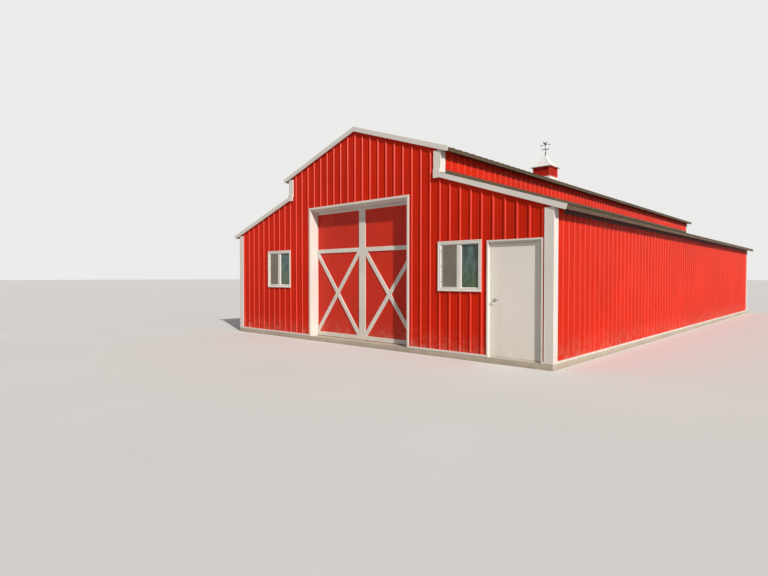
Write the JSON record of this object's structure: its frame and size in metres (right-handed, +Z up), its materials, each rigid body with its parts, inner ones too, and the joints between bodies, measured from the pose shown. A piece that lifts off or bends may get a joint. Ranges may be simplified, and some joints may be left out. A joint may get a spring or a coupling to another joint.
{
  "type": "red raised-centre barn",
  "caption": "Red steel-clad barn with a raised centre, white trim, sliding X-braced front doors, a side door, windows and a louvred ridge cupola with a weather vane.",
  "frame": {"origin": "middle of the slab's underside, at ground level", "axes": "+X to the right along the front wall, +Y from the front to the back, +Z up"},
  "size_m": [9.5242, 18.348, 6.1766],
  "materials": {
    "concrete": "weathered concrete",
    "siding_red": "ribbed steel sheet with a satin red coat",
    "roof_bronze": "ribbed steel sheet with a dark bronze coat",
    "trim_white": "folded steel trim with a white coat",
    "timber": "sawn framing timber",
    "galvanised": "galvanised steel",
    "door_red": "flat steel face with a red coat",
    "board_white": "white painted boards",
    "door_beige": "flat steel door with a pale beige coat",
    "lever_metal": "satin nickel",
    "window_white": "white window profile",
    "glass": "clear window glass",
    "cupola_white": "white coated sheet",
    "cupola_red": "red painted louvres",
    "vane_black": "dark painted iron"
  },
  "bodies": {
    "barn": {"slab": "concrete", "base_trim": "trim_white", "front_wall_left": "siding_red", "front_wall_right": "siding_red", "front_wall_over_doors": "siding_red", "front_wall_side_door": "siding_red", "back_wall": "siding_red", "left_wall": "siding_red", "right_wall": "siding_red", "left_raised_wall": "siding_red", "right_raised_wall": "siding_red", "left_lower_roof": "roof_bronze", "right_lower_roof": "roof_bronze", "left_upper_roof": "roof_bronze", "right_upper_roof": "roof_bronze", "ridge_cap": "roof_bronze", "front_rakes": "trim_white", "back_rakes": "trim_white", "lower_eave_trims": "roof_bronze", "upper_eave_trims": "roof_bronze", "corner_trims": "trim_white", "raised_corner_trims": "trim_white", "doorway_trim": "trim_white", "left_side_frame": "timber", "right_side_frame": "timber", "front_frame_left": "timber", "front_frame_right": "timber", "doorway_header": "timber", "back_frame": "timber", "left_aisle_frame": "timber", "right_aisle_frame": "timber", "lower_roof_frame": "timber", "upper_roof_frame": "timber", "roof_ties": "timber", "door_track": "galvanised", "side_door_trim": "trim_white", "side_door_frame": "trim_white", "left_window": "window_white", "right_window": "window_white", "window_glass": "glass", "cupola_saddle": "cupola_white", "cupola_body": "cupola_red", "cupola_roof": "cupola_white", "vane_rod": "vane_black"},
    "left_door": {"left_door_leaf": "door_red", "left_door_boards": "board_white", "left_door_hangers": "galvanised"},
    "right_door": {"right_door_leaf": "door_red", "right_door_boards": "board_white", "right_door_hangers": "galvanised"},
    "side_door": {"side_door_leaf": "door_beige", "side_door_roses": "lever_metal"},
    "lever": {"side_door_lever": "lever_metal"},
    "vane": {"vane_arrow": "vane_black"}
  },
  "joints": [
    {"name": "left_door_slide", "type": "slide", "parent": "barn", "child": "left_door", "axis": [-1, 0, 0], "range_m": [0, 1.48]},
    {"name": "right_door_slide", "type": "slide", "parent": "barn", "child": "right_door", "axis": [1, 0, 0], "range_m": [0, 1.48]},
    {"name": "side_door_hinge", "type": "hinge", "parent": "barn", "child": "side_door", "pos_m": [4.2955, -9.098, 1], "axis": [0, 0, 1], "range_deg": [0, 100]},
    {"name": "lever_turn", "type": "hinge", "parent": "side_door", "child": "lever", "pos_m": [3.4485, -9.067, 1.1], "axis": [0, 1, 0], "range_deg": [0, 40], "stiffness_Nm_per_rad": 2, "springref_deg": -34.38},
    {"name": "vane_turn", "type": "hinge", "parent": "barn", "child": "vane", "pos_m": [0, 0, 5.8], "axis": [0, 0, 1], "continuous": true}
  ]
}
